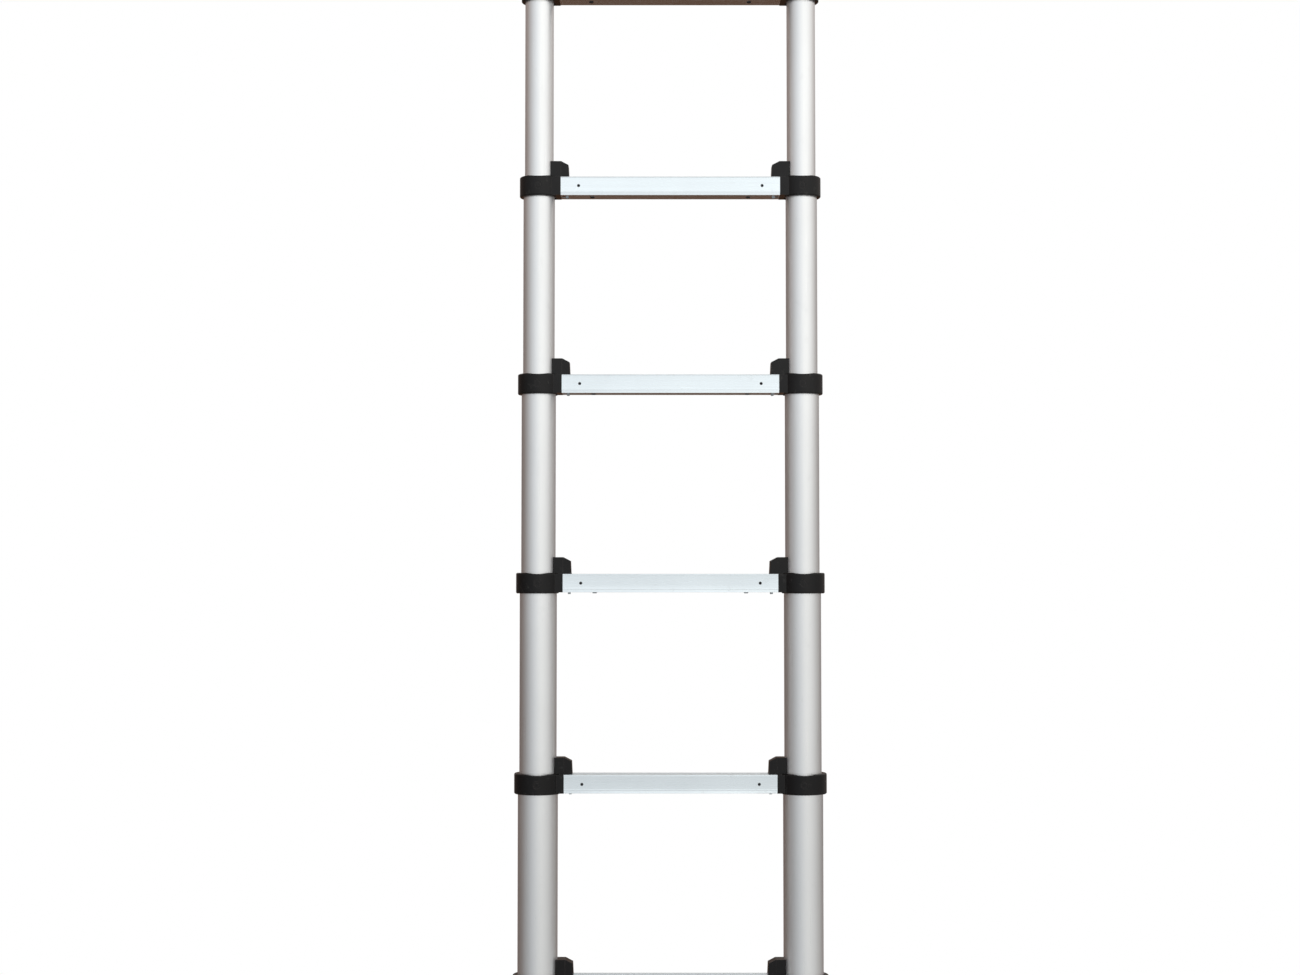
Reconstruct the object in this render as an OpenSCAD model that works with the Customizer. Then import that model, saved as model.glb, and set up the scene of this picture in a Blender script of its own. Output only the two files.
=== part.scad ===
// Telescoping ladder: tube stages that slide inside one another, each with a collar, a rung and a
// pair of sprung locking pins. Millimetres, +Z up, front at -Y, origin on the floor between the feet.

/* [Ladder] */
// Number of stages, each with one rung
stage_count = 7; // [2:1:7]
// Height of the lowest rung's middle above the floor
first_rung_height = 290; // [285:1:320]
// Distance between rungs when the ladder is drawn out
rung_pitch = 290; // [270:1:310]
// Distance between the middles of the two stiles
stile_distance = 385; // [340:1:440]
// Share of the full extension that is drawn out
drawn_out = 1; // [0:0.1:1]
// Whether the locking pins stand in the tubes (1) or are drawn back (0)
locked = 0; // [0:1:1]

/* [Stile tubes] */
// Outside diameter of the lowest stage's tube
first_tube_od = 66; // [64:1:74]
// Wall of every tube
tube_wall = 1.5; // [1.2:0.1:1.7]
// Free radial gap between one tube and the next
tube_gap = 0.5; // [0.4:0.1:0.6]
// Length of tube below the locking pin that stays in the stage below
tube_insert = 30; // [24:1:36]
// Height of a tube's upper end above its rung's middle
tube_seat = 11; // [9:0.5:11]

/* [Rungs] */
// Depth of a rung, front to back
rung_depth = 42; // [40:1:46]
// Height of a rung
rung_height = 26.8; // [26:0.2:30]
// Wall of the rung's sides and floor
rung_wall = 1.6; // [1.3:0.1:1.8]
// Depth of the lower bevels along a rung
bevel_depth = 3.2; // [2:0.1:4]
// Height of the lower bevels along a rung
bevel_height = 4; // [3:0.1:5]
// How far the middle of a rung's face is set back from its rims
face_recess = 0.4; // [0.2:0.1:0.6]
// Height of the rims along a rung's face
face_rim = 1.6; // [1:0.1:2]
// Number of grooves in the tread
groove_count = 12; // [6:1:12]
// Depth of the tread's grooves
groove_depth = 0.9; // [0.5:0.1:1]

/* [Collars] */
// Height of a collar's ring
ring_height = 30; // [28:0.5:31]
// Wall of a collar's ring around its tube
ring_wall = 5.4; // [4:0.1:5.6]
// Rounding of the ring's outer edges
ring_rounding = 2.2; // [1:0.1:3]
// Dip of the ring's upper rim at the front and back
rim_dip = 1.8; // [1:0.1:2]
// Distance from the tube to the end of the rung, more than the ring's wall and rounding
neck_length = 9.2; // [8.8:0.1:10]
// Depth of the neck between ring and rung, front to back
neck_depth = 41.6; // [38:0.2:41.8]
// Length of the collar's plug inside the rung
plug_length = 53; // [52:1:60]

/* [Landing block] */
// Depth of the block, front to back
block_depth = 25; // [22:1:30]
// Height of the block above the tread
block_height = 24.3; // [22:0.1:26]
// How far the block reaches over the rung
block_reach = 11.9; // [11:0.1:12.5]
// Drop of the ramp on the block's inner side
ramp_drop = 5.5; // [5:0.1:6.5]
// Gap between a landed rung and the block below it
landing_gap = 0.2; // [0.1:0.1:0.5]

/* [Lock] */
// Diameter of a locking pin
pin_d = 9; // [8:0.5:9]
// Travel of a locking pin
pin_travel = 4.8; // [4:0.1:4.8]
// Depth of a drawn back pin's tip below the tube's outer face
pin_rest_depth = 1.2; // [0.8:0.1:1.4]
// Wire of a latch spring
spring_wire = 1.2; // [1:0.1:1.3]
// Turns in a latch spring
spring_turns = 7; // [5:1:8]
// Width of a release button along the rung
button_width = 14; // [12:0.5:14]

/* [Fasteners] */
// Distance from the rung's end to the screws in its front and back
side_screw_inset = 26.3; // [25:0.1:30]
// Distance from the rung's end to the screw that stops the latch spring
stop_screw_inset = 46; // [44:0.5:47]

/* [Feet] */
// Height of a rubber foot
shoe_height = 52; // [40:1:70]
// Radius of the sole
sole_r = 41; // [40:1:50]
// Thickness of rubber under the tube
shoe_floor = 8; // [8:1:9]

/* [Hidden] */
$fn = 96;
fit = 0.05;
slide_fit = 0.1;
eps = 1;
tube_step = tube_wall + tube_gap;
half_rung = rung_height / 2;
half_depth = rung_depth / 2;
half_ring = ring_height / 2;
block_top = half_rung + block_height;
closed_pitch = block_top + half_rung + landing_gap;
travel = rung_pitch - closed_pitch;
pin_r = pin_d / 2;
pin_hole_r = pin_r + 0.25;
// The tread is thicker than the rest of the rung, because of its grooves.
tread_wall = groove_depth + rung_wall;
tread_half_width = half_depth - 2;
groove_pitch = 2 * tread_half_width / groove_count;
groove_width = 0.4 * groove_pitch;
edge_corner = 0.9;
block_step = 0.6;
ramp_flare = 0.5;
ramp_lean = 0.8;
// The carrier is the latch's body around the pin. Places along it are counted from the rung's end.
carrier_start = 7;
carrier_end = 20;
carrier_half_depth = 7;
carrier_low = -9;
carrier_high = 7;
carrier_room = 0.3;
pin_tail_r = 2.2;
pin_tail_length = 10;
latch_foot_start = carrier_start;
latch_foot_width = 4;
latch_foot_corner = 0.4;
latch_foot_half_depth = 4;
// A drawn back foot just clears the ramp that it has landed on.
ramp_length = block_reach - ramp_lean - block_step;
function ramp_z(x) = block_top - ramp_drop * (x - block_step) / ramp_length;
latch_foot_bottom = ramp_z(latch_foot_start - tube_step + latch_foot_corner) + 0.15 - closed_pitch;
spring_r = 3.7;
spring_start = carrier_end + 0.1;
stop_shank_r = 2;
stop_top = 9;
side_shank_r = 1.4;
side_shank_length = 9;
side_head_r = 2.2;
side_head_height = 0.6;
stop_head_r = 3.3;
stop_head_height = 1.4;
driver_r = 1;
driver_depth = 0.5;
button_middle = 14;
button_half_height = 6;
button_thickness = 4.6;
button_stem_half = 3;
button_spigot_r = 2.4;
button_spigot_end = 4.8;
plug_flange = 4;
plug_insert = 15;
air_hole_r = 1.5;
shoe_boss_top = 15;
shoe_wall = 4;
sole_thickness = 5;
shoe_screw_height = 11.5;
shoe_screw_r = 2;
shoe_screw_length = 16;
cap_insert = 16;
cap_rise = 3.5;
badge_r = 5.5;
badge_depth = 0.5;
scoop_r = 73;

aluminium = "#c6c9ce";
black_nylon = "#1f2023";
steel = "#9a9da1";
black_steel = "#2b2b2d";
rubber = "#26272a";
button_plastic = "#c8402b";

function tube_r(k) = first_tube_od / 2 - (k - 1) * tube_step;
function tube_inner_r(k) = tube_r(k) - tube_wall;
function rung_z(k) = first_rung_height + (k - 1) * (closed_pitch + drawn_out * travel);
function rung_end(k) = tube_r(k) + neck_length;
function rung_length(k) = stile_distance - 2 * rung_end(k);
// How far a stage's tube reaches below its own rung.
function tube_drop(k) = k == 1 ? first_rung_height - shoe_floor : rung_pitch + tube_insert;
function is_top(k) = k == stage_count;
function stage_name(k, thing) = str("stage_", k, "_", thing);

all_stages = [for (k = [1 : stage_count]) k];
upper_stages = [for (k = [2 : stage_count]) k];
locking_stages = [for (k = [1 : stage_count - 1]) k];

// ---- Places ----

module on_left_stile() {
    translate([-stile_distance / 2, 0, 0]) children();
}

module on_right_stile() {
    mirror([1, 0, 0]) on_left_stile() children();
}

module on_both_stiles() {
    on_left_stile() children();
    on_right_stile() children();
}

module at_stage(k) {
    translate([0, 0, rung_z(k)]) children();
}

// From the middle of a tube to the end of the rung, where x runs along the rung.
module at_rung_end(k) {
    translate([rung_end(k), 0, 0]) children();
}

// Moves with a locking pin, towards the tube.
module with_pin() {
    translate([-pin_travel * locked, 0, 0]) children();
}

// Extrudes an outline drawn in (y, z) along x.
module along_x(length, centred = true) {
    rotate([90, 0, 90]) linear_extrude(length, center = centred) children();
}

module rod_x(r, start, end) {
    translate([start, 0, 0]) rotate([0, 90, 0]) cylinder(r = r, h = end - start);
}

module rod_y(r, start, end) {
    translate([0, start, 0]) rotate([-90, 0, 0]) cylinder(r = r, h = end - start);
}

// A box from its lowest to its highest corner.
module block(low, high) {
    translate(low) cube(high - low);
}

// ---- Stile tubes ----

module pin_hole(k) {
    rod_x(pin_hole_r, tube_inner_r(k) - eps * 2, tube_r(k) + eps);
}

module stile_tube(k) {
    difference() {
        translate([0, 0, -tube_drop(k)]) cylinder(r = tube_r(k), h = tube_drop(k) + tube_seat);
        translate([0, 0, -tube_drop(k) - eps])
            cylinder(r = tube_inner_r(k), h = tube_drop(k) + tube_seat + 2 * eps);
        if (!is_top(k)) pin_hole(k);
        if (k > 1) translate([0, 0, -rung_pitch]) pin_hole(k);
        if (k == 1) shoe_screw_holes(shoe_screw_height - first_rung_height);
    }
}

module stile_tubes(k) {
    color(aluminium) at_stage(k) on_both_stiles() stile_tube(k);
}

// Piston in the lower end of a tube: it guides the tube in the stage below, and its small hole
// lets the air out slowly when the stage comes down.
module tube_plug(k) {
    guide_r = tube_inner_r(k - 1) - slide_fit;
    translate([0, 0, -tube_drop(k)]) difference() {
        union() {
            translate([0, 0, -plug_flange]) cylinder(r = guide_r, h = plug_flange);
            cylinder(r = tube_inner_r(k) - fit, h = plug_insert);
        }
        translate([0, 0, plug_flange / 2])
            cylinder(r = tube_inner_r(k) - 3, h = plug_insert);
        translate([0, 0, -plug_flange - eps]) cylinder(r = air_hole_r, h = plug_insert, $fn = 32);
    }
}

module tube_plugs(k) {
    color(black_nylon) at_stage(k) on_both_stiles() tube_plug(k);
}

// ---- Rungs ----

// One side of the rung's outline, from its floor up to its tread.
function rung_side(side) = [
    [side * (half_depth - bevel_depth), -half_rung],
    [side * half_depth, -half_rung + bevel_height],
    [side * half_depth, -half_rung + bevel_height + face_rim],
    [side * (half_depth - face_recess), -half_rung + bevel_height + face_rim + face_recess],
    [side * (half_depth - face_recess), half_rung - face_rim - face_recess],
    [side * half_depth, half_rung - face_rim],
    [side * half_depth, half_rung - edge_corner],
    [side * (half_depth - edge_corner), half_rung]
];

function backwards(points) = [for (i = [len(points) - 1 : -1 : 0]) points[i]];

module rung_outline() {
    difference() {
        polygon(concat(rung_side(1), backwards(rung_side(-1))));
        for (i = [0 : groove_count - 1])
            translate([(i + 0.5) * groove_pitch - tread_half_width, half_rung])
                square([groove_width, 2 * groove_depth], center = true);
    }
}

// The hollow of the rung, or what fills it with a gap all round.
module rung_hollow_outline(gap = 0) {
    half = half_depth - rung_wall - gap;
    low = -half_rung + rung_wall + gap;
    high = half_rung - tread_wall - gap;
    polygon([
        [-half + bevel_depth, low], [half - bevel_depth, low],
        [half, low + bevel_height], [half, high],
        [-half, high], [-half, low + bevel_height]
    ]);
}

module rung_openings(k) {
    for (side = [-1, 1])
        translate([side_screw_inset, 0, 0])
            rod_y(side_shank_r + slide_fit, min(0, side * rung_depth), max(0, side * rung_depth));
    translate([stop_screw_inset, 0, -rung_height]) cylinder(r = stop_shank_r + slide_fit, h = rung_height);
    if (k == 1) button_slot();
    else if (!is_top(k)) latch_foot_slot();
}

module rung(k) {
    color(aluminium) at_stage(k) difference() {
        along_x(rung_length(k)) rung_outline();
        along_x(rung_length(k) + 2 * eps) rung_hollow_outline();
        on_both_stiles() at_rung_end(k) rung_openings(k);
    }
}

// ---- Collars ----

// The corner of an outline, rounded about a centre from one angle to another.
function arc(centre, r, from, to, steps = 6) = [
    for (i = [0 : steps])
        let (a = from + (to - from) * i / steps)
        centre + r * [cos(a), sin(a)]
];

module collar_ring(k) {
    outer = tube_r(k) + ring_wall;
    inner = outer - ring_wall - ring_rounding;
    corner = outer - ring_rounding;
    difference() {
        rotate_extrude() polygon(concat(
            [[inner, half_ring], [inner, -half_ring]],
            arc([corner, -half_ring + ring_rounding], ring_rounding, -90, 0),
            arc([corner, half_ring - ring_rounding], ring_rounding, 0, 90)
        ));
        translate([0, 0, half_ring - rim_dip + scoop_r]) rod_y(scoop_r, -2 * outer, 2 * outer);
        for (side = [-1, 1]) translate([0, side * outer, 0]) badge_recess();
    }
}

// A plain raised dot in a shallow round recess.
module badge_recess() {
    difference() {
        rod_y(badge_r, -badge_depth, badge_depth);
        rod_y(0.6 * badge_r, -2 * badge_depth, 2 * badge_depth);
    }
}

module collar_neck(k) {
    block([0, -neck_depth / 2, -half_rung], [rung_end(k), neck_depth / 2, half_rung]);
}

// The ring hangs below the rung, so it is cut away where the block of the stage below comes up.
module landing_notch(k) {
    half = block_depth / 2 + landing_gap;
    block([0, -half, -2 * half_ring], [rung_end(k), half, -half_rung]);
}

module rung_plug() {
    translate([-eps, 0, 0]) along_x(plug_length + eps, centred = false) rung_hollow_outline(slide_fit);
}

// Stands on the collar and reaches over the rung. The collar above lands on it, and its ramp draws
// that stage's latch back. The reach is a little slimmer than the post.
module landing_block(k) {
    difference() {
        union() {
            block([0, -block_depth / 2, half_rung - eps], [rung_end(k), block_depth / 2, block_top]);
            at_rung_end(k) block_over_rung();
        }
        cylinder(r = tube_r(k + 1) + 3 * slide_fit, h = block_top + eps);
    }
}

module block_over_rung() {
    depth = block_depth - 2 * block_step;
    translate([0, depth / 2, 0]) rotate([90, 0, 0]) linear_extrude(depth) polygon([
        [-eps, half_rung + fit],
        [block_reach + ramp_flare, half_rung + fit],
        [block_reach, half_rung + 3 * ramp_flare],
        [block_reach - ramp_lean, block_top - ramp_drop],
        [block_step, block_top],
        [-eps, block_top]
    ]);
}

// Where the tube ends inside the ring, under a lip that guides the next tube.
module tube_room(k) {
    translate([0, 0, -2 * half_ring]) cylinder(r = tube_r(k) + fit, h = 2 * half_ring + tube_seat);
    lip_r = is_top(k) ? tube_r(k) + fit : tube_r(k + 1) + slide_fit;
    cylinder(r = lip_r, h = 2 * half_ring);
}

module carrier_pocket() {
    start = carrier_start - pin_travel - carrier_room;
    half = carrier_half_depth + carrier_room;
    block(
        [start, -half, carrier_low - carrier_room],
        [plug_length + eps, half, carrier_high + carrier_room]
    );
}

// Room for the latch's foot below its carrier, from the foot's outermost place to end.
module latch_foot_room(end, top) {
    start = latch_foot_start - pin_travel - carrier_room;
    half = latch_foot_half_depth + carrier_room;
    block([start, -half, -rung_height], [end, half, top]);
}

// Open to the inner end of the plug, so that the latch slides in from there.
module latch_foot_channel() {
    latch_foot_room(plug_length + eps, carrier_low + eps);
}

module latch_foot_slot() {
    latch_foot_room(latch_foot_start + latch_foot_width + carrier_room, carrier_low);
}

module button_slot() {
    half = button_stem_half + carrier_room;
    block(
        [button_middle - pin_travel - half, -rung_depth, -half],
        [button_middle + half, -carrier_half_depth, half]
    );
}

module latch_room(k) {
    rod_x(pin_r + 0.15, -rung_end(k), carrier_start);
    carrier_pocket();
    if (k == 1) button_slot();
    else latch_foot_channel();
}

module collar_screw_holes() {
    for (side = [-1, 1])
        translate([side_screw_inset, 0, 0]) rod_y(
            side_shank_r + fit,
            min(side * rung_depth, side * (half_depth - side_shank_length - eps)),
            max(side * rung_depth, side * (half_depth - side_shank_length - eps))
        );
    translate([stop_screw_inset, 0, -rung_height])
        cylinder(r = stop_shank_r + fit, h = rung_height + stop_top + 0.2);
}

module collar(k) {
    difference() {
        union() {
            collar_ring(k);
            collar_neck(k);
            at_rung_end(k) rung_plug();
            if (!is_top(k)) landing_block(k);
        }
        tube_room(k);
        if (k > 1) landing_notch(k);
        at_rung_end(k) collar_screw_holes();
        if (!is_top(k)) at_rung_end(k) latch_room(k);
    }
}

module collars(k) {
    color(black_nylon) at_stage(k) on_both_stiles() collar(k);
}

// ---- Latches ----

// A cast latch: the locking pin, its carrier, the tail that holds the spring and, above the
// lowest rung, the foot that the block below pushes on.
module latch(k) {
    difference() {
        union() {
            rod_x(pin_r, -neck_length - pin_rest_depth, carrier_end);
            block(
                [carrier_start, -carrier_half_depth, carrier_low],
                [carrier_end, carrier_half_depth, carrier_high]
            );
            rod_x(pin_tail_r, carrier_end, carrier_end + pin_tail_length);
            if (k > 1) latch_foot();
        }
        if (k == 1) translate([button_middle, 0, 0])
            rod_y(button_spigot_r + fit, -carrier_half_depth - eps, -button_spigot_end + fit);
    }
}

module latch_foot() {
    translate([latch_foot_start, latch_foot_half_depth, 0]) rotate([90, 0, 0])
        linear_extrude(2 * latch_foot_half_depth) polygon([
            [0, carrier_low + eps],
            [0, latch_foot_bottom + latch_foot_corner],
            [latch_foot_corner, latch_foot_bottom],
            [latch_foot_width, latch_foot_bottom],
            [latch_foot_width, carrier_low + eps]
        ]);
}

module left_latch(k) {
    color(steel) at_stage(k) on_left_stile() at_rung_end(k) with_pin() latch(k);
}

module right_latch(k) {
    color(steel) at_stage(k) on_right_stile() at_rung_end(k) with_pin() latch(k);
}

// A coil along x: the corners of its wire, ring after ring, joined into a closed tube.
module coil(r, wire, length, turns, per_turn = 10, sides = 5) {
    rings = turns * per_turn;
    lead = (length - wire) / rings;
    points = [
        for (i = [0 : rings], j = [0 : sides - 1])
            let (turn = 360 * i / per_turn, a = 360 * j / sides, out = r + wire / 2 * cos(a))
            [wire / 2 + i * lead + wire / 2 * sin(a), out * cos(turn), out * sin(turn)]
    ];
    walls = [
        for (i = [0 : rings - 1], j = [0 : sides - 1])
            let (a = i * sides + j, b = i * sides + (j + 1) % sides)
            each [[a, b, b + sides], [a, b + sides, a + sides]]
    ];
    first_cap = [for (j = [sides - 1 : -1 : 0]) j];
    last_cap = [for (j = [0 : sides - 1]) rings * sides + j];
    polyhedron(points, concat([first_cap], walls, [last_cap]), convexity = 10);
}

// Compressed between the carrier and the stop screw.
module latch_springs(k) {
    spring_length = stop_screw_inset - stop_shank_r - slide_fit - spring_start;
    color(steel) at_stage(k) on_both_stiles() at_rung_end(k) translate([spring_start, 0, 0])
        coil(spring_r, spring_wire, spring_length, spring_turns);
}

// Thumb slide on the lowest rung's face, with a stem through the rung into the latch.
module release_button() {
    back = -half_depth + face_recess - slide_fit;
    front = back - button_thickness;
    translate([button_middle, 0, 0]) difference() {
        union() {
            block(
                [-button_width / 2, front, -button_half_height],
                [button_width / 2, back, button_half_height]
            );
            block(
                [-button_stem_half, back - eps, -button_stem_half],
                [button_stem_half, -carrier_half_depth - slide_fit, button_stem_half]
            );
            rod_y(button_spigot_r, -carrier_half_depth - eps, -button_spigot_end);
        }
        for (i = [-2 : 2])
            translate([i * button_width / 5.6, front, 0])
                cube([1.1, 1.6, 3 * button_half_height], center = true);
    }
}

module left_release_button() {
    color(button_plastic) at_stage(1) on_left_stile() at_rung_end(1) with_pin() release_button();
}

module right_release_button() {
    color(button_plastic) at_stage(1) on_right_stile() at_rung_end(1) with_pin() release_button();
}

// ---- Screws ----

// A screw along +z, with its head below z = 0 and a six-sided driver recess.
module screw(shank_r, shank_length, head_r, head_height) {
    difference() {
        union() {
            cylinder(r = shank_r, h = shank_length, $fn = 32);
            translate([0, 0, -head_height / 2]) cylinder(r = head_r, h = head_height / 2, $fn = 48);
            translate([0, 0, -head_height])
                cylinder(r1 = 0.8 * head_r, r2 = head_r, h = head_height / 2, $fn = 48);
        }
        translate([0, 0, -head_height - eps]) cylinder(r = driver_r, h = driver_depth + eps, $fn = 6);
    }
}

module rung_end_screws() {
    for (turn = [0, 180])
        translate([side_screw_inset, 0, 0]) rotate([0, 0, turn])
            translate([0, -half_depth + face_recess, 0]) rotate([-90, 0, 0])
                screw(side_shank_r, side_shank_length, side_head_r, side_head_height);
    translate([stop_screw_inset, 0, -half_rung])
        screw(stop_shank_r, half_rung + stop_top, stop_head_r, stop_head_height);
}

module screws(k) {
    color(black_steel) at_stage(k) on_both_stiles() at_rung_end(k) rung_end_screws();
}

// ---- Feet and caps ----

module shoe_screw_holes(z) {
    translate([0, 0, z]) rod_y(shoe_screw_r + fit, -sole_r, sole_r);
}

module rubber_foot() {
    outer = tube_r(1) + shoe_wall;
    seat_r = tube_r(1) + fit;
    boss_r = tube_inner_r(1) - fit;
    difference() {
        rotate_extrude() polygon([
            [0, 0], [sole_r - 1.5, 0], [sole_r, 1.5], [sole_r, sole_thickness], [outer, shoe_floor],
            [outer, shoe_height - 2], [outer - 1.5, shoe_height], [seat_r, shoe_height],
            [seat_r, shoe_floor], [boss_r, shoe_floor], [boss_r, shoe_boss_top], [0, shoe_boss_top]
        ]);
        shoe_screw_holes(shoe_screw_height);
        for (x = [-24 : 12 : 24])
            translate([x, 0, 0]) cube([3, 3 * sole_r, 4], center = true);
    }
}

module rubber_feet() {
    color(rubber) on_both_stiles() rubber_foot();
}

module foot_screws() {
    head_seat = tube_r(1) + shoe_wall + fit;
    color(black_steel) on_both_stiles() for (turn = [0, 180])
        rotate([0, 0, turn]) translate([0, -head_seat, shoe_screw_height]) rotate([-90, 0, 0])
            screw(shoe_screw_r, shoe_screw_length, stop_head_r, stop_head_height);
}

module top_cap() {
    cap_r = tube_r(stage_count) - slide_fit;
    translate([0, 0, tube_seat]) {
        difference() {
            translate([0, 0, -cap_insert])
                cylinder(r = tube_inner_r(stage_count) - fit, h = cap_insert + eps);
            translate([0, 0, -cap_insert - eps])
                cylinder(r = tube_inner_r(stage_count) - 2, h = cap_insert);
        }
        rotate_extrude() polygon(concat(
            [[0, fit], [cap_r, fit]],
            arc([cap_r - 2, cap_rise - 2], 2, 0, 90),
            [[0, cap_rise]]
        ));
    }
}

module top_caps() {
    color(black_nylon) at_stage(stage_count) on_both_stiles() top_cap();
}

// ---- The ladder ----

for (k = all_stages) {
    stile_tubes(k);
    rung(k);
    collars(k);
    screws(k);
}
for (k = upper_stages) {
    tube_plugs(k);
}
for (k = locking_stages) {
    left_latch(k);
    right_latch(k);
    latch_springs(k);
}
rubber_feet();
foot_screws();
top_caps();
left_release_button();
right_release_button();
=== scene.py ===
"""Looks for the telescoping ladder: materials, rounded edges, latch springs, studio light and camera.

Everything is in metres in the frame's own space: +Z up, front at -Y, origin on the floor between the feet.
"""

import math

import bpy
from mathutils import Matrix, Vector


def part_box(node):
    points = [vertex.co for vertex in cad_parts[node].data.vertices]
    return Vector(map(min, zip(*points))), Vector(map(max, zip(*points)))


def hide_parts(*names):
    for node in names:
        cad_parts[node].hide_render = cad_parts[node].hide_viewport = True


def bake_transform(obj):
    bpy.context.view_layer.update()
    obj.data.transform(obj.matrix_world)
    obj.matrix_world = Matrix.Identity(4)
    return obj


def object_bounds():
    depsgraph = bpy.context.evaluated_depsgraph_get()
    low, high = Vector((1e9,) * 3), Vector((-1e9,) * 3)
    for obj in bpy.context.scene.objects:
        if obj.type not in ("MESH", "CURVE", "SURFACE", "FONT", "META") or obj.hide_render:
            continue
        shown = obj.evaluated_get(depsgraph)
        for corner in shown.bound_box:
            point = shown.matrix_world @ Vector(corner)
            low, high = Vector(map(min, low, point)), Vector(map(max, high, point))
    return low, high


MM = 0.001

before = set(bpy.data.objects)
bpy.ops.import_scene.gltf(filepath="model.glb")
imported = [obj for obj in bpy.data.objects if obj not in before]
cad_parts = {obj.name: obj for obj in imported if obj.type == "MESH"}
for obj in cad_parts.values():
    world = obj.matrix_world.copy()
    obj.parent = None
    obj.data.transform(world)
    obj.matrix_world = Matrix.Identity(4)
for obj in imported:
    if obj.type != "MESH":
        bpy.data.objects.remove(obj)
cad_low, cad_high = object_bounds()


# ---- Object, colour and shader helpers ----


# Most values of a noise pattern lie in this band.
NOISE_BAND = (0.3, 0.7)
# The cosine between a surface's own direction and its softened one: where an edge begins, and where
# it is full.
EDGE_COSINES = (0.995, 0.86)


def add_object(name, data):
    """A new object in the scene."""
    made = bpy.data.objects.new(name, data)
    bpy.context.scene.collection.objects.link(made)
    return made


def linear(hex_colour):
    """A colour written as #rrggbb, as the linear RGBA that Blender takes, by the sRGB curve."""
    shares = [int(hex_colour[i : i + 2], 16) / 255 for i in (1, 3, 5)]
    return [s / 12.92 if s <= 0.04045 else ((s + 0.055) / 1.055) ** 2.4 for s in shares] + [1.0]


def grey(value):
    """A neutral linear colour."""
    return [value, value, value, 1.0]


def darker(colour, share):
    """A colour whose red, green and blue are cut down to a share."""
    return [share * value for value in colour[:3]] + [1.0]


class Shader:
    """A node tree under construction. Most methods add nodes and return the output that they make."""

    def __init__(self, tree):
        self.tree = tree
        tree.nodes.clear()

    def node(self, kind, inputs=None, **settings):
        """A new node with these properties, and with values or other nodes' outputs as its inputs."""
        made = self.tree.nodes.new("ShaderNode" + kind)
        for name, value in settings.items():
            setattr(made, name, value)
        for name, value in (inputs or {}).items():
            if isinstance(value, bpy.types.NodeSocket):
                self.tree.links.new(value, made.inputs[name])
            else:
                made.inputs[name].default_value = value
        return made

    def show(self, shader_output, kind="OutputMaterial"):
        """Ends the tree with the shader that it shows."""
        self.node(kind, {"Surface": shader_output})

    def place(self):
        """Where a point is on the object at rest, in metres."""
        return self.node("TexCoord").outputs["Object"]

    def normal(self):
        """The direction that the surface faces."""
        return self.node("NewGeometry").outputs["Normal"]

    def vector(self, operation, a, b=(0, 0, 0)):
        """Vector arithmetic. A dot product and a length are numbers."""
        made = self.node("VectorMath", {0: a, 1: b}, operation=operation)
        return made.outputs["Value" if operation in ("DOT_PRODUCT", "LENGTH") else "Vector"]

    def math(self, operation, a, b=0.0):
        """Arithmetic on numbers."""
        return self.node("Math", {0: a, 1: b}, operation=operation).outputs[0]

    def changed(self, value, mask, amount):
        """value, changed by amount where mask is 1."""
        return self.math("ADD", value, self.math("MULTIPLY", mask, amount))

    def remap(self, value, low, high, to_low=0.0, to_high=1.0):
        """value from low..high to to_low..to_high, smoothly and without leaving it."""
        inputs = {"Value": value, "From Min": low, "From Max": high, "To Min": to_low, "To Max": to_high}
        return self.node("MapRange", inputs, interpolation_type="SMOOTHSTEP").outputs["Result"]

    def noise(self, repeats, detail=3.0, roughness=0.55):
        """A noise pattern that repeats about so often per metre, along X, Y and Z."""
        place = self.vector("MULTIPLY", self.place(), repeats)
        inputs = {"Vector": place, "Scale": 1.0, "Detail": detail, "Roughness": roughness}
        return self.node("TexNoise", inputs).outputs["Fac"]

    def patches(self, repeats, low, high, detail=3.0, roughness=0.55):
        """Soft patches of 1 on 0, where a noise pattern goes from low to high."""
        return self.remap(self.noise(repeats, detail, roughness), low, high)

    def varied(self, pattern, middle, reach):
        """A value that follows a noise pattern, by up to reach on both sides of middle."""
        return self.remap(pattern, *NOISE_BAND, middle - reach, middle + reach)

    def mix(self, share, a, b, blend="MIX"):
        """Colour a, turned to colour b by share."""
        # A colour mix has its two colours at inputs 6 and 7, and its result at output 2.
        return self.node("Mix", {0: share, 6: a, 7: b}, data_type="RGBA", blend_type=blend).outputs[2]

    def tinted(self, base, mask, colour, share):
        """A base colour, turned to another by a share where mask is 1."""
        return self.mix(self.math("MULTIPLY", mask, share), base, colour)

    def ramp(self, value, stops):
        """A colour ramp of (place from 0 to 1, linear colour) stops."""
        made = self.node("ValToRGB", {"Fac": value})
        elements = made.color_ramp.elements
        while len(elements) < len(stops):
            elements.new(1.0)
        for element, (position, colour) in zip(elements, stops):
            element.position = position
            element.color = colour
        return made.outputs["Color"]

    def bump(self, height, depth, under=None):
        """Raises the surface by up to depth metres where height is 1, on top of the bumps under it."""
        inputs = {"Height": height, "Distance": depth, "Strength": 1.0}
        if under is not None:
            inputs["Normal"] = under
        return self.node("Bump", inputs).outputs["Normal"]

    def softened(self, radius):
        """The surface's direction, turned smoothly across sharp edges."""
        return self.node("Bevel", {"Radius": radius}, samples=4).outputs["Normal"]

    def edges(self, radius):
        """1 on sharp edges that stick out or in, 0 on flat and gently curved surfaces."""
        return self.remap(self.vector("DOT_PRODUCT", self.softened(radius), self.normal()), *EDGE_COSINES)


# ---- Materials, one function for each of the record's slots ----


# How often each pattern repeats per metre, along X, Y and Z.
CLOUDS = (9, 9, 5)
HANDLING_MARKS = (55, 55, 38)
SWIRLS = (42, 42, 30)
DUST = (120, 120, 90)
STAINS = (150, 150, 150)

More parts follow.
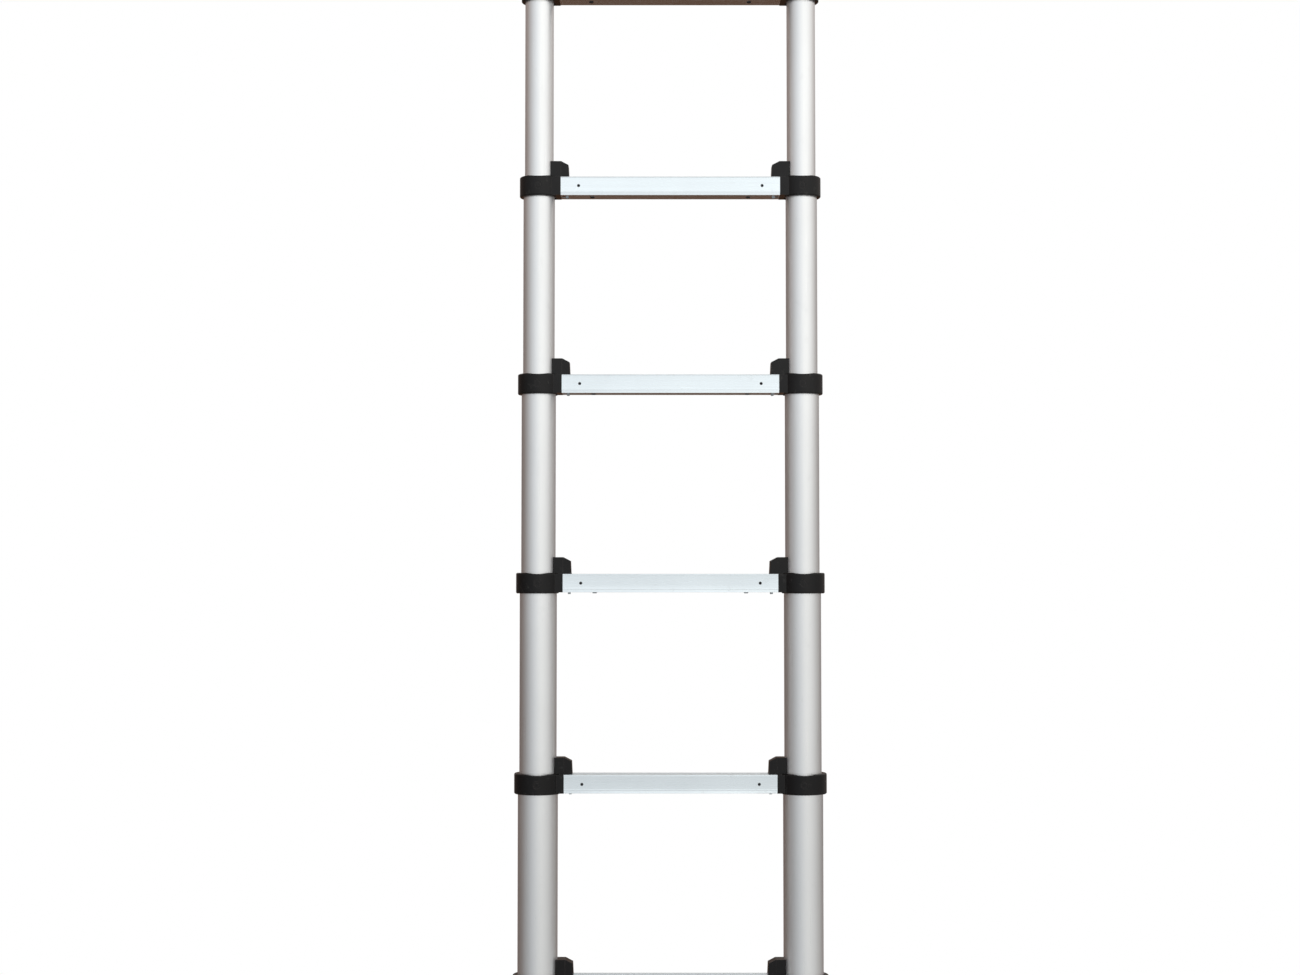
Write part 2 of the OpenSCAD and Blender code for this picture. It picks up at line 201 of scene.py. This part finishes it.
DUST_COLOUR = linear("#8a8680")
SMUDGE_COLOUR = grey(0.62)
BRIGHT_METAL = grey(0.97)

# How far wear reaches from an edge. On the nylon the moulded edge band is also a painted highlight.
ALUMINIUM_WEAR = 0.5 * MM
MOULDED_WEAR_AND_HIGHLIGHT = 0.6 * MM
STEEL_WEAR = 0.3 * MM

DIE_LINE_HEIGHT = 0.012 * MM
SCRATCH_DEPTH = 0.015 * MM
# How far the moulded parts' edges are softened in their shading.
MOULDED_SOFTENING = 0.5 * MM


def every_way(size):
    """Repeats per metre for a pattern whose grains are of one size in every direction."""
    return [1 / size] * 3


def aluminium(shader, colour, lines, scratches, groove_direction, roughness):
    """Satin anodised aluminium. lines and scratches are repeats per metre, few along the profile."""
    die_lines = shader.noise(lines, detail=5.0, roughness=0.7)
    cloud = shader.patches(CLOUDS, low=0.35, high=0.65, detail=4.0)
    smudge = shader.patches(HANDLING_MARKS, low=0.56, high=0.74, detail=6.0, roughness=0.7)
    scratch = shader.patches(scratches, low=0.66, high=0.72, detail=2.0)
    edge_mask = shader.edges(ALUMINIUM_WEAR)

    base = shader.mix(cloud, colour, darker(colour, share=0.965))
    base = shader.tinted(base, smudge, SMUDGE_COLOUR, share=0.1)
    base = shader.tinted(base, edge_mask, BRIGHT_METAL, share=0.5)

    finish = shader.varied(die_lines, middle=roughness, reach=0.045)
    finish = shader.changed(finish, smudge, amount=0.05)
    finish = shader.changed(finish, edge_mask, amount=-0.12)
    finish = shader.changed(finish, scratch, amount=-0.08)

    drawn = shader.bump(die_lines, DIE_LINE_HEIGHT)
    principled = shader.node("BsdfPrincipled", {
        "Base Color": base,
        "Metallic": 1.0,
        "Roughness": finish,
        "Anisotropic": 0.35,
        "Tangent": shader.vector("CROSS_PRODUCT", shader.normal(), groove_direction),
        "Normal": shader.bump(scratch, -SCRATCH_DEPTH, under=drawn),
    })
    shader.show(principled.outputs[0])


def satin_aluminium(shader):
    """The tubes, drawn along Z."""
    aluminium(
        shader,
        colour=linear("#f7f7f7"),
        lines=(1400, 1400, 5),
        scratches=(700, 700, 9),
        groove_direction=(0, 0, 1),
        roughness=0.36,
    )


def rung_aluminium(shader):
    """The rungs, drawn along X."""
    aluminium(
        shader,
        colour=linear("#f2f9fd"),
        lines=(5, 1400, 1400),
        scratches=(12, 700, 700),
        groove_direction=(1, 0, 0),
        roughness=0.27,
    )


def moulded(shader, colour, edge_colour, roughness, shine, pit_size, pit_depth):
    """Plastic or rubber with an eroded mould texture, duller in patches and polished and lighter on its
    edges; on the nylon the lighter edges are wear and a painted highlight.
    """
    pits = shader.noise(every_way(pit_size), roughness=0.6)
    swirl = shader.noise(SWIRLS, detail=4.0)
    dust = shader.patches(DUST, low=0.58, high=0.78, detail=5.0)
    edge_mask = shader.edges(MOULDED_WEAR_AND_HIGHLIGHT)

    base = shader.mix(shader.remap(swirl, low=0.35, high=0.65), colour, darker(colour, share=0.7))
    base = shader.tinted(base, dust, DUST_COLOUR, share=0.06)
    # Lighter edges: wear, and on the nylon also a painted highlight where its arrises catch the light.
    base = shader.tinted(base, edge_mask, edge_colour, share=0.55)

    finish = shader.varied(swirl, middle=roughness, reach=0.06)
    finish = shader.changed(finish, dust, amount=0.15)
    finish = shader.changed(finish, edge_mask, amount=-0.1)

    principled = shader.node("BsdfPrincipled", {
        "Base Color": base,
        "Roughness": finish,
        "Specular IOR Level": shine,
        "Normal": shader.bump(pits, pit_depth, under=shader.softened(MOULDED_SOFTENING)),
    })
    shader.show(principled.outputs[0])


def black_nylon(shader):
    """Collars, tube plugs and top caps."""
    moulded(
        shader,
        colour=linear("#060404"),
        # The lighter edge colour is partly wear and partly a painted highlight along the arrises.
        edge_colour=linear("#4a4442"),
        roughness=0.22,
        shine=0.3,
        pit_size=0.9 * MM,
        pit_depth=0.03 * MM,
    )


def foot_rubber(shader):
    """The feet."""
    moulded(
        shader,
        colour=linear("#1d1d1e"),
        edge_colour=linear("#45433f"),
        roughness=0.66,
        shine=0.3,
        pit_size=1.4 * MM,
        pit_depth=0.06 * MM,
    )


def button_plastic(shader):
    """The release buttons."""
    moulded(
        shader,
        colour=linear("#b3341f"),
        edge_colour=linear("#d0604a"),
        roughness=0.34,
        shine=0.45,
        pit_size=0.7 * MM,
        pit_depth=0.012 * MM,
    )


def steel(shader, colour, edge_colour, metallic, roughness, grain_size, grain_depth):
    """Bare, cast or blackened steel, stained in patches and bright on its edges."""
    grain = shader.noise(every_way(grain_size), detail=4.0, roughness=0.65)
    stain = shader.patches(STAINS, low=0.35, high=0.7, detail=4.0)
    edge_mask = shader.edges(STEEL_WEAR)

    base = shader.mix(stain, colour, darker(colour, share=0.72))
    base = shader.tinted(base, edge_mask, edge_colour, share=0.6)

    finish = shader.varied(grain, middle=roughness, reach=0.07)
    finish = shader.changed(finish, edge_mask, amount=-0.1)

    principled = shader.node("BsdfPrincipled", {
        "Base Color": base,
        "Metallic": metallic,
        "Roughness": finish,
        "Normal": shader.bump(grain, grain_depth),
    })
    shader.show(principled.outputs[0])


def black_steel(shader):
    """The screws."""
    steel(
        shader,
        colour=linear("#2a292b"),
        edge_colour=linear("#77767a"),
        metallic=0.8,
        roughness=0.36,
        grain_size=0.4 * MM,
        grain_depth=0.008 * MM,
    )


def cast_steel(shader):
    """The latches."""
    steel(
        shader,
        colour=linear("#a9adb0"),
        edge_colour=linear("#d6d8da"),
        metallic=1.0,
        roughness=0.42,
        grain_size=1.1 * MM,
        grain_depth=0.03 * MM,
    )


def spring_steel(shader):
    """The latch springs."""
    steel(
        shader,
        colour=linear("#9c9da3"),
        edge_colour=linear("#d0d1d6"),
        metallic=1.0,
        roughness=0.24,
        grain_size=0.5 * MM,
        grain_depth=0.006 * MM,
    )


MATERIALS = [
    satin_aluminium, rung_aluminium, black_nylon, foot_rubber,
    button_plastic, black_steel, cast_steel, spring_steel,
]


def build_material(name, paint):
    """A new material whose nodes are made by a paint function."""
    made = bpy.data.materials.new(name)
    made.use_nodes = True
    paint(Shader(made.node_tree))
    return made


looks = {paint.__name__: build_material("look_" + paint.__name__, paint) for paint in MATERIALS}


# ---- CAD nodes: finish and rounded edges ----


# How far the outer edges of each material's parts are rounded. The nylon parts carry roundings of
# their own, and their remaining edges are softened by their material.
EDGE_ROUNDING = {
    "satin_aluminium": 0.2 * MM,
    "rung_aluminium": 0.2 * MM,
    "foot_rubber": 0.6 * MM,
    "button_plastic": 0.4 * MM,
    "black_steel": 0.12 * MM,
    "cast_steel": 0.3 * MM,
}
ROUNDING_SEGMENTS = 2
# An edge that sticks out is rounded if it turns by more than this.
SHARP = math.radians(35)
# Points closer than this are joined before the rounding.
WELD_DISTANCE = 0.04 * MM
# Faces that turn by less than this are joined before the rounding too.
FLAT = math.radians(0.4)


def edge_picker():
    """Geometry nodes that give each edge sticking out sharply a bevel weight of 1."""
    tree = bpy.data.node_groups.new("pick_outer_edges", "GeometryNodeTree")
    tree.interface.new_socket("Geometry", in_out="INPUT", socket_type="NodeSocketGeometry")
    tree.interface.new_socket("Geometry", in_out="OUTPUT", socket_type="NodeSocketGeometry")
    angle = tree.nodes.new("GeometryNodeInputMeshEdgeAngle")
    sharp = tree.nodes.new("FunctionNodeCompare")
    sharp.operation = "GREATER_THAN"
    sharp.inputs["B"].default_value = SHARP
    weight = tree.nodes.new("GeometryNodeStoreNamedAttribute")
    weight.domain = "EDGE"
    weight.inputs["Name"].default_value = "bevel_weight_edge"
    arriving = tree.nodes.new("NodeGroupInput")
    leaving = tree.nodes.new("NodeGroupOutput")
    for start, end in (
        (angle.outputs["Signed Angle"], sharp.inputs["A"]),
        (sharp.outputs["Result"], weight.inputs["Value"]),
        (arriving.outputs[0], weight.inputs["Geometry"]),
        (weight.outputs["Geometry"], leaving.inputs[0]),
    ):
        tree.links.new(start, end)
    return tree


def round_edges(node, width, picker):
    """Rounds a CAD node's outer edges with modifiers, which leave its own mesh as it is."""
    weld = node.modifiers.new("weld", "WELD")
    weld.merge_threshold = WELD_DISTANCE
    flats = node.modifiers.new("join_flats", "DECIMATE")
    flats.decimate_type = "DISSOLVE"
    flats.angle_limit = FLAT
    pick = node.modifiers.new("pick_edges", "NODES")
    pick.node_group = picker
    bevel = node.modifiers.new("round", "BEVEL")
    bevel.width = width
    bevel.segments = ROUNDING_SEGMENTS
    bevel.limit_method = "WEIGHT"
    bevel.use_clamp_overlap = False
    shade = node.modifiers.new("shade", "WEIGHTED_NORMAL")
    shade.keep_sharp = False


def finish_cad_nodes():
    """Gives each CAD node the look of its slot, and rounds its edges if its material's are rounded."""
    picker = edge_picker()
    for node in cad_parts.values():
        for material_slot in node.material_slots:
            slot_name = material_slot.material.name
            material_slot.material = looks[slot_name]
            if slot_name in EDGE_ROUNDING:
                round_edges(node, EDGE_ROUNDING[slot_name], picker)


finish_cad_nodes()


# ---- Latch springs ----


# Every stage but the top one holds a left and a right latch.
LOCKING_STAGES = range(1, 7)
# A spring at rest, from the stop screw under the rung to the latch.
SPRING_LENGTH = 23.8 * MM
# From the spring's middle to the middle of its wire.
SPRING_RADIUS = 3.7 * MM
SPRING_TURNS = 7
# The turns at each end that lie against their neighbours.
CLOSED_TURNS = 1
WIRE_RADIUS = 0.6 * MM
WIRE_SIDES = 8
STEPS_PER_TURN = 24


def spring_advance(turn):
    """How far along the spring its wire is after a number of turns."""
    wire = 2 * WIRE_RADIUS
    open_turns = SPRING_TURNS - 2 * CLOSED_TURNS
    # Each closed turn takes up the wire's thickness, and each end of the coil half of it.
    open_pitch = (SPRING_LENGTH - (2 * CLOSED_TURNS + 1) * wire) / open_turns
    opened = min(max(turn - CLOSED_TURNS, 0), open_turns)
    return open_pitch * opened + wire * (turn - opened)


def spring_points():
    """The corners of the wire, ring after ring, for a coil that runs along +X from the origin."""
    for step in range(SPRING_TURNS * STEPS_PER_TURN + 1):
        turn = step / STEPS_PER_TURN
        around = 2 * math.pi * turn
        along = WIRE_RADIUS + spring_advance(turn)
        for side in range(WIRE_SIDES):
            angle = 2 * math.pi * side / WIRE_SIDES
            out = SPRING_RADIUS + WIRE_RADIUS * math.cos(angle)
            yield along + WIRE_RADIUS * math.sin(angle), out * math.cos(around), out * math.sin(around)


def spring_faces():
    """The skin of the wire, open at both ends."""
    for step in range(SPRING_TURNS * STEPS_PER_TURN):
        for side in range(WIRE_SIDES):
            a = step * WIRE_SIDES + side
            b = step * WIRE_SIDES + (side + 1) % WIRE_SIDES
            yield a, a + WIRE_SIDES, b + WIRE_SIDES, b


def spring_mesh(name):
    """A closed coil with smooth sides and flat ends."""
    last_ring = SPRING_TURNS * STEPS_PER_TURN * WIRE_SIDES
    sides = list(spring_faces())
    ends = [tuple(range(WIRE_SIDES)), tuple(reversed(range(last_ring, last_ring + WIRE_SIDES)))]
    mesh = bpy.data.meshes.new(name)
    mesh.from_pydata(list(spring_points()), [], sides + ends)
    for face in mesh.polygons:
        face.use_smooth = face.index < len(sides)
    mesh.materials.append(looks["spring_steel"])
    return mesh


def add_spring(side, stage, outer_end, inward):
    """A spring from its latch, at outer_end, to its stop screw. inward is 1 or -1 along X."""
    name = f"{side}_latch_spring_{stage}"
    spring = add_object(name, spring_mesh(name))
    spring.location = outer_end
    spring.rotation_euler.z = 0 if inward > 0 else math.pi
    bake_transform(spring)
    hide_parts(f"stage_{stage}_latch_springs")


def add_springs():
    """A left and a right spring for each stage with latches, in the place of the CAD model's."""
    for stage in LOCKING_STAGES:
        low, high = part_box(f"stage_{stage}_latch_springs")
        level = (low.z + high.z) / 2
        add_spring("left", stage, Vector((low.x, 0, level)), inward=1)
        add_spring("right", stage, Vector((high.x, 0, level)), inward=-1)


add_springs()


# ---- Floor ----


FLOOR_RADIUS = 12.0
FLOOR_CORNERS = 96
# The gap between the feet and the floor.
FLOOR_GAP = 0.2 * MM
# The distances from the middle between which the floor's own shading fades out.
FLOOR_FADE = (1.6, 3.2)
FLOOR_GREYS = (0.84, 0.87)
FLOOR_MOTTLE = (3, 3, 3)


def pale_floor(shader):
    """A pale floor whose own shading gives way to the white surroundings further out."""
    away = shader.vector("LENGTH", shader.place())
    darkest, lightest = FLOOR_GREYS
    tint = shader.mix(shader.noise(FLOOR_MOTTLE), grey(darkest), grey(lightest))
    lit = shader.node("BsdfPrincipled", {"Base Color": tint, "Roughness": 0.8, "Specular IOR Level": 0.1})
    white = shader.node("Emission", {"Color": grey(1.0), "Strength": 1.0})
    faded = shader.node("MixShader", {
        "Fac": shader.remap(away, *FLOOR_FADE),
        1: lit.outputs[0],
        2: white.outputs[0],
    })
    shader.show(faded.outputs[0])


def add_floor():
    """A round floor under the feet, which isn't seen in reflections."""
    bpy.ops.mesh.primitive_circle_add(vertices=FLOOR_CORNERS, radius=FLOOR_RADIUS, fill_type="NGON")
    floor = bpy.context.object
    floor.name = "floor"
    floor.location.z = cad_low.z - FLOOR_GAP
    floor.data.materials.append(build_material("pale_floor", pale_floor))
    floor.visible_glossy = False


# ---- Surroundings ----


# What polished metal sees round the studio: degrees to the right of the camera, and the colour there.
SURROUNDINGS = [
    (-180, "#c9c8c6"),
    (-140, "#83726a"),
    (-100, "#8d827d"),
    (-60, "#b4b5b6"),
    (-20, "#d7dbde"),
    (20, "#f6f7f5"),
    (60, "#eaebea"),
    (100, "#cbc8c5"),
    (140, "#a8a19d"),
    (180, "#c9c8c6"),
]
# How bright that is from straight down (-1) to straight up (1).
HEIGHTS = [
    (-1.0, 1.4),
    (-0.85, 1.2),
    (-0.6, 0.75),
    (-0.25, 0.6),
    (-0.05, 0.7),
    (0.05, 0.78),
    (0.17, 1.2),
    (0.3, 1.38),
    (0.5, 1.3),
    (1.0, 1.2),
]
# How much the horizon rises behind the ladder, per unit of distance.
HORIZON_TILT = 0.14
# A dark wooden floor behind the ladder. Its middle lies this far below level. Its colour is full within
# the narrow angle from there and ends at the wide one.
BACK_FLOOR = linear("#5f4637")
BACK_FLOOR_DIP = math.radians(18)
BACK_FLOOR_WIDE = math.radians(46)
BACK_FLOOR_NARROW = math.radians(18)


def studio_direction(shader):
    """Where a ray looks, as outputs right, away and up. The studio turns with the camera."""
    direction = shader.node("TexCoord").outputs["Generated"]
    forward = shader.node(
        "VectorTransform",
        {"Vector": (0, 0, 1)},
        vector_type="VECTOR",
        convert_from="CAMERA",
        convert_to="WORLD",
    )
    level = shader.vector("MULTIPLY", forward.outputs["Vector"], (1, 1, 0))
    heading = shader.vector("NORMALIZE", level)
    sideways = shader.vector("CROSS_PRODUCT", heading, (0, 0, 1))
    right = shader.vector("DOT_PRODUCT", direction, sideways)
    away = shader.vector("DOT_PRODUCT", direction, heading)
    up = shader.node("SeparateXYZ", {"Vector": direction}).outputs["Z"]
    return right, away, up


def centred_ramp(shader, value, span, stops):
    """A colour ramp over a span of values that has 0 in its middle."""
    place = shader.math("ADD", shader.math("DIVIDE", value, span), 0.5)
    return shader.ramp(place, stops)


def surroundings(shader):
    """The studio's colour in the direction of a ray."""
    right, away, up = studio_direction(shader)
    turn = shader.math("ARCTAN2", right, shader.math("MULTIPLY", away, -1.0))
    ring_stops = [(angle / 360 + 0.5, linear(colour)) for angle, colour in SURROUNDINGS]
    ring = centred_ramp(shader, turn, 2 * math.pi, ring_stops)
    height = shader.math("SUBTRACT", up, shader.math("MULTIPLY", away, HORIZON_TILT))
    height_stops = [(share / 2 + 0.5, grey(value)) for share, value in HEIGHTS]
    brightness = centred_ramp(shader, height, 2.0, height_stops)
    studio = shader.mix(1.0, ring, brightness, blend="MULTIPLY")

    dipped = shader.math("MULTIPLY", up, -math.sin(BACK_FLOOR_DIP))
    towards_floor = shader.math("ADD", dipped, shader.math("MULTIPLY", away, math.cos(BACK_FLOOR_DIP)))
    on_floor = shader.remap(towards_floor, math.cos(BACK_FLOOR_WIDE), math.cos(BACK_FLOOR_NARROW))
    return shader.mix(on_floor, studio, BACK_FLOOR)


def add_world():
    """White for the camera and for matt surfaces; a soft studio with a darker left side in reflections."""
    world = bpy.data.worlds.new("studio")
    bpy.context.scene.world = world
    world.use_nodes = True
    shader = Shader(world.node_tree)
    shade = surroundings(shader)
    rays = shader.node("LightPath")
    colour = shader.mix(rays.outputs["Is Glossy Ray"], grey(1.0), shade)
    background = shader.node("Background", {"Color": colour, "Strength": 1.0})
    shader.show(background.outputs[0], kind="OutputWorld")


# ---- Softboxes and camera ----


# Each softbox's place, the side of its square and its power in watts.
SOFTBOXES = {
    "key_light": ((1.8, -2.6, 3.4), 2.4, 55),
    "fill_light": ((-2.4, 1.6, 2.6), 2.0, 15),
}
# The eye is level with the fourth rung, a little left of the ladder's middle, and looks slightly up.
EYE = (-0.0297, -3.123, 1.161)
EYE_PITCH = math.radians(2.54)
SENSOR_WIDTH = 36.0
LENS = 59.26


def add_softbox(name, place, side, power):
    """A square light that faces the ladder's middle and isn't seen in reflections."""
    light = bpy.data.lights.new(name, "AREA")
    light.shape = "SQUARE"
    light.size = side
    light.energy = power
    softbox = add_object(name, light)
    softbox.location = place
    softbox.visible_glossy = False
    towards_middle = Vector((0, 0, cad_high.z / 2)) - softbox.location
    softbox.rotation_euler = towards_middle.to_track_quat("-Z", "Y").to_euler()


def add_camera():
    """The camera that the scene is rendered from."""
    data = bpy.data.cameras.new("camera")
    data.sensor_width = SENSOR_WIDTH
    data.lens = LENS
    camera = add_object("camera", data)
    camera.location = EYE
    camera.rotation_euler = (math.pi / 2 + EYE_PITCH, 0, 0)
    bpy.context.scene.camera = camera


add_floor()
add_world()
for softbox_name, (place, side, power) in SOFTBOXES.items():
    add_softbox(softbox_name, place, side, power)
add_camera()
bpy.context.scene.view_settings.view_transform = "Standard"
